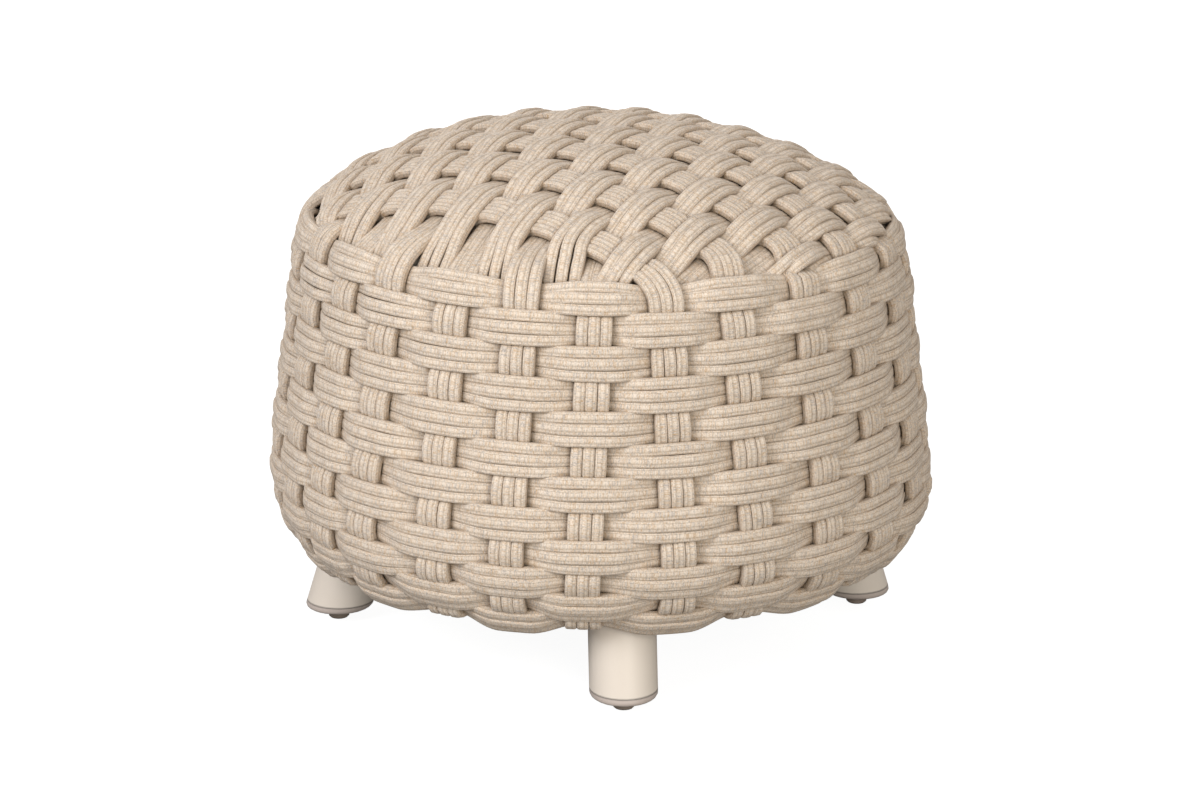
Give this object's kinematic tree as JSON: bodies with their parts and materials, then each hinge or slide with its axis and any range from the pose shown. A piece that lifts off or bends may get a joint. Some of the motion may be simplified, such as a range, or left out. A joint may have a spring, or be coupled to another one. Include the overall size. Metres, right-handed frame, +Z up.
{
  "type": "woven outdoor footstool",
  "caption": "Round outdoor footstool with a domed top, woven from broad beige rope bands over a steel frame, on splayed round cream legs with end caps and levelling glides.",
  "frame": {"origin": "on the floor under the middle of the stool", "axes": "+Z up; the legs stand at 45, 135, 225 and 315 degrees from +X about +Z; the picture looks from 40 degrees to the right of the -Y side"},
  "size_m": [0.5652, 0.5652, 0.4323],
  "materials": {
    "woven_rope": "matte braided polyester rope, beige melange",
    "cream_coat": "satin powder coat",
    "zinc_steel": "zinc plated",
    "cap_plastic": "taupe, satin",
    "glide_plastic": "dark brown-grey, satin"
  },
  "bodies": {
    "body": {"rope_top": "woven_rope", "rope_row_01": "woven_rope", "rope_row_02": "woven_rope", "rope_row_03": "woven_rope", "rope_row_04": "woven_rope", "rope_row_05": "woven_rope", "rope_row_06": "woven_rope", "rope_row_07": "woven_rope", "rope_row_08": "woven_rope", "rope_row_09": "woven_rope", "rope_row_10": "woven_rope", "rope_row_11": "woven_rope", "rope_row_12": "woven_rope", "rim_ring": "cream_coat", "middle_hoop": "cream_coat", "base_ring": "cream_coat", "crown_plate": "cream_coat", "post_01": "cream_coat", "rib_01": "cream_coat", "spoke_01": "cream_coat", "mount_plate_01": "cream_coat", "leg_flange_01": "cream_coat", "leg_01": "cream_coat", "post_02": "cream_coat", "rib_02": "cream_coat", "spoke_02": "cream_coat", "mount_plate_02": "cream_coat", "leg_flange_02": "cream_coat", "leg_02": "cream_coat", "post_03": "cream_coat", "rib_03": "cream_coat", "spoke_03": "cream_coat", "mount_plate_03": "cream_coat", "leg_flange_03": "cream_coat", "leg_03": "cream_coat", "post_04": "cream_coat", "rib_04": "cream_coat", "spoke_04": "cream_coat", "mount_plate_04": "cream_coat", "leg_flange_04": "cream_coat", "leg_04": "cream_coat", "leg_bolt_01a": "zinc_steel", "leg_bolt_01b": "zinc_steel", "leg_bolt_02a": "zinc_steel", "leg_bolt_02b": "zinc_steel", "leg_bolt_03a": "zinc_steel", "leg_bolt_03b": "zinc_steel", "leg_bolt_04a": "zinc_steel", "leg_bolt_04b": "zinc_steel", "leg_cap_01": "cap_plastic", "leg_cap_02": "cap_plastic", "leg_cap_03": "cap_plastic", "leg_cap_04": "cap_plastic"},
    "glide_body_01": {"glide_01": "glide_plastic"},
    "glide_body_02": {"glide_02": "glide_plastic"},
    "glide_body_03": {"glide_03": "glide_plastic"},
    "glide_body_04": {"glide_04": "glide_plastic"}
  },
  "joints": [
    {"name": "glide_height_01", "type": "slide", "parent": "body", "child": "glide_body_01", "axis": [0, 0, -1], "range_m": [0, 0.008]},
    {"name": "glide_height_02", "type": "slide", "parent": "body", "child": "glide_body_02", "axis": [0, 0, -1], "range_m": [0, 0.008]},
    {"name": "glide_height_03", "type": "slide", "parent": "body", "child": "glide_body_03", "axis": [0, 0, -1], "range_m": [0, 0.008]},
    {"name": "glide_height_04", "type": "slide", "parent": "body", "child": "glide_body_04", "axis": [0, 0, -1], "range_m": [0, 0.008]}
  ]
}
